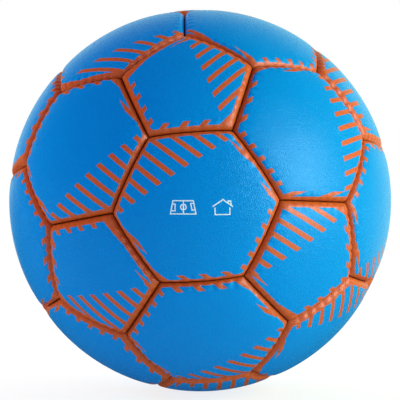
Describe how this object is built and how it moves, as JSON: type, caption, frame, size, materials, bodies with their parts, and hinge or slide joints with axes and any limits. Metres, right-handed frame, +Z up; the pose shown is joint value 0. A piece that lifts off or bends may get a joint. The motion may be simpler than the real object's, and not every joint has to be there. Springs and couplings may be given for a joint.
{
  "type": "handball",
  "caption": "Inflated hand-stitched ball of hexagonal and pentagonal leather panels round a rubber bladder, with a recessed needle valve.",
  "frame": {"origin": "centre of the ball", "axes": "+Y out through the valve, -Y out through the middle of the front hexagon, +Z up as the signs on that hexagon stand, +X to the right seen from the front"},
  "size_m": [0.188, 0.1879, 0.188],
  "materials": {
    "panel_skin": "fine grained synthetic leather, satin blue with rust-orange printed borders",
    "lining_cloth": "woven laminate",
    "seam_thread": "waxed thread",
    "bladder_rubber": "matte",
    "valve_rubber": "matte",
    "core_rubber": "matte"
  },
  "bodies": {
    "root": {"hexagon_panel_01": "panel_skin", "hexagon_panel_02": "panel_skin", "hexagon_panel_03": "panel_skin", "hexagon_panel_04": "panel_skin", "hexagon_panel_05": "panel_skin", "hexagon_panel_06": "panel_skin", "hexagon_panel_07": "panel_skin", "hexagon_panel_08": "panel_skin", "hexagon_panel_09": "panel_skin", "hexagon_panel_10": "panel_skin", "hexagon_panel_11": "panel_skin", "hexagon_panel_12": "panel_skin", "hexagon_panel_13": "panel_skin", "hexagon_panel_14": "panel_skin", "hexagon_panel_15": "panel_skin", "hexagon_panel_16": "panel_skin", "hexagon_panel_17": "panel_skin", "hexagon_panel_18": "panel_skin", "hexagon_panel_19": "panel_skin", "hexagon_panel_20": "panel_skin", "pentagon_panel_01": "panel_skin", "pentagon_panel_02": "panel_skin", "pentagon_panel_03": "panel_skin", "pentagon_panel_04": "panel_skin", "pentagon_panel_05": "panel_skin", "pentagon_panel_06": "panel_skin", "pentagon_panel_07": "panel_skin", "pentagon_panel_08": "panel_skin", "pentagon_panel_09": "panel_skin", "pentagon_panel_10": "panel_skin", "pentagon_panel_11": "panel_skin", "pentagon_panel_12": "panel_skin", "hexagon_linings": "lining_cloth", "pentagon_linings": "lining_cloth", "hexagon_pentagon_threads": "seam_thread", "hexagon_hexagon_threads": "seam_thread", "bladder": "bladder_rubber", "valve_housing": "valve_rubber", "valve_core": "core_rubber"}
  },
  "joints": []
}
